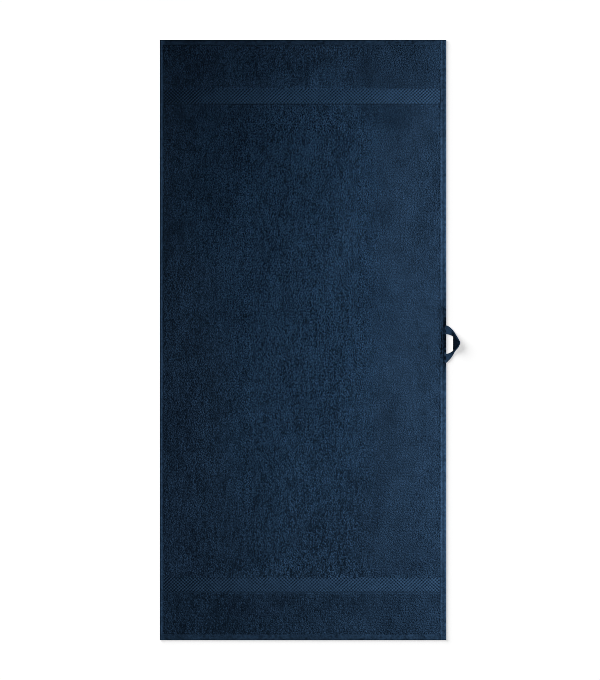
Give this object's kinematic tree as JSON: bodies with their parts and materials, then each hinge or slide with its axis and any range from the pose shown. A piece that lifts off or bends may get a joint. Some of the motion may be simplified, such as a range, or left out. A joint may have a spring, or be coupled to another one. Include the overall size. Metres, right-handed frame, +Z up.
{
  "type": "terry hand towel with a hanging loop",
  "caption": "Flat rectangular terry towel with hemmed edges, a flat woven border near each end and a folded tape loop on one long side.",
  "frame": {"origin": "middle of the cloth on its underside, on the surface that the towel lies on", "axes": "+X across the cloth towards the side with the hanging loop, +Y along the cloth, +Z up from the surface"},
  "size_m": [0.5245, 1.048, 0.0111],
  "materials": {
    "terry": "navy cotton terry with cut-free loops on both faces, flat woven borders and hems",
    "tape": "navy woven cotton tape"
  },
  "bodies": {
    "root": {"towel_cloth": "terry", "hanging_loop": "tape"}
  },
  "joints": []
}
